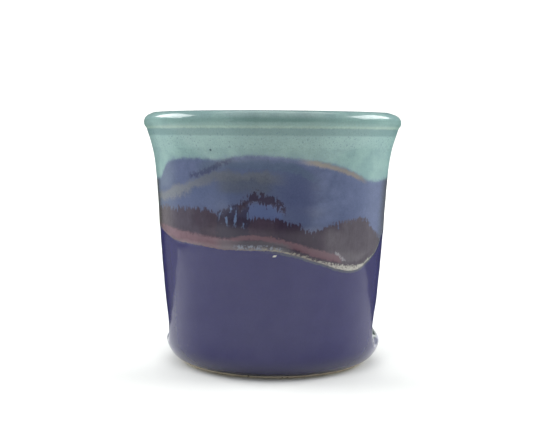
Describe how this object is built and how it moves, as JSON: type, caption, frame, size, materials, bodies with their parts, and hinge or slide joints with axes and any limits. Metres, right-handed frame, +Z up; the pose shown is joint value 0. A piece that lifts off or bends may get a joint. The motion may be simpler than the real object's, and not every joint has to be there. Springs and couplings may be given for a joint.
{
  "type": "sponge holder",
  "caption": "Round ceramic cup with a rolled rim and two opposite slots from rim to near the floor; a sponge stands on edge in the slots and drains.",
  "frame": {"origin": "on the table at the cup's own axis, at the centre of its foot", "axes": "+Z up along the cup's axis; the two slots face +X and -X; the front wall faces -Y"},
  "size_m": [0.0918, 0.0968, 0.091],
  "materials": {
    "stoneware": "matte",
    "violet_glaze": "gloss",
    "landscape_glaze": "gloss",
    "blue_green_glaze": "gloss",
    "liner_glaze": "gloss"
  },
  "bodies": {
    "root": {"stoneware_body": "stoneware", "base_glaze": "violet_glaze", "landscape_glaze_front": "landscape_glaze", "landscape_glaze_back": "landscape_glaze", "rim_glaze_front": "blue_green_glaze", "rim_glaze_back": "blue_green_glaze", "liner_glaze": "liner_glaze"}
  },
  "joints": []
}
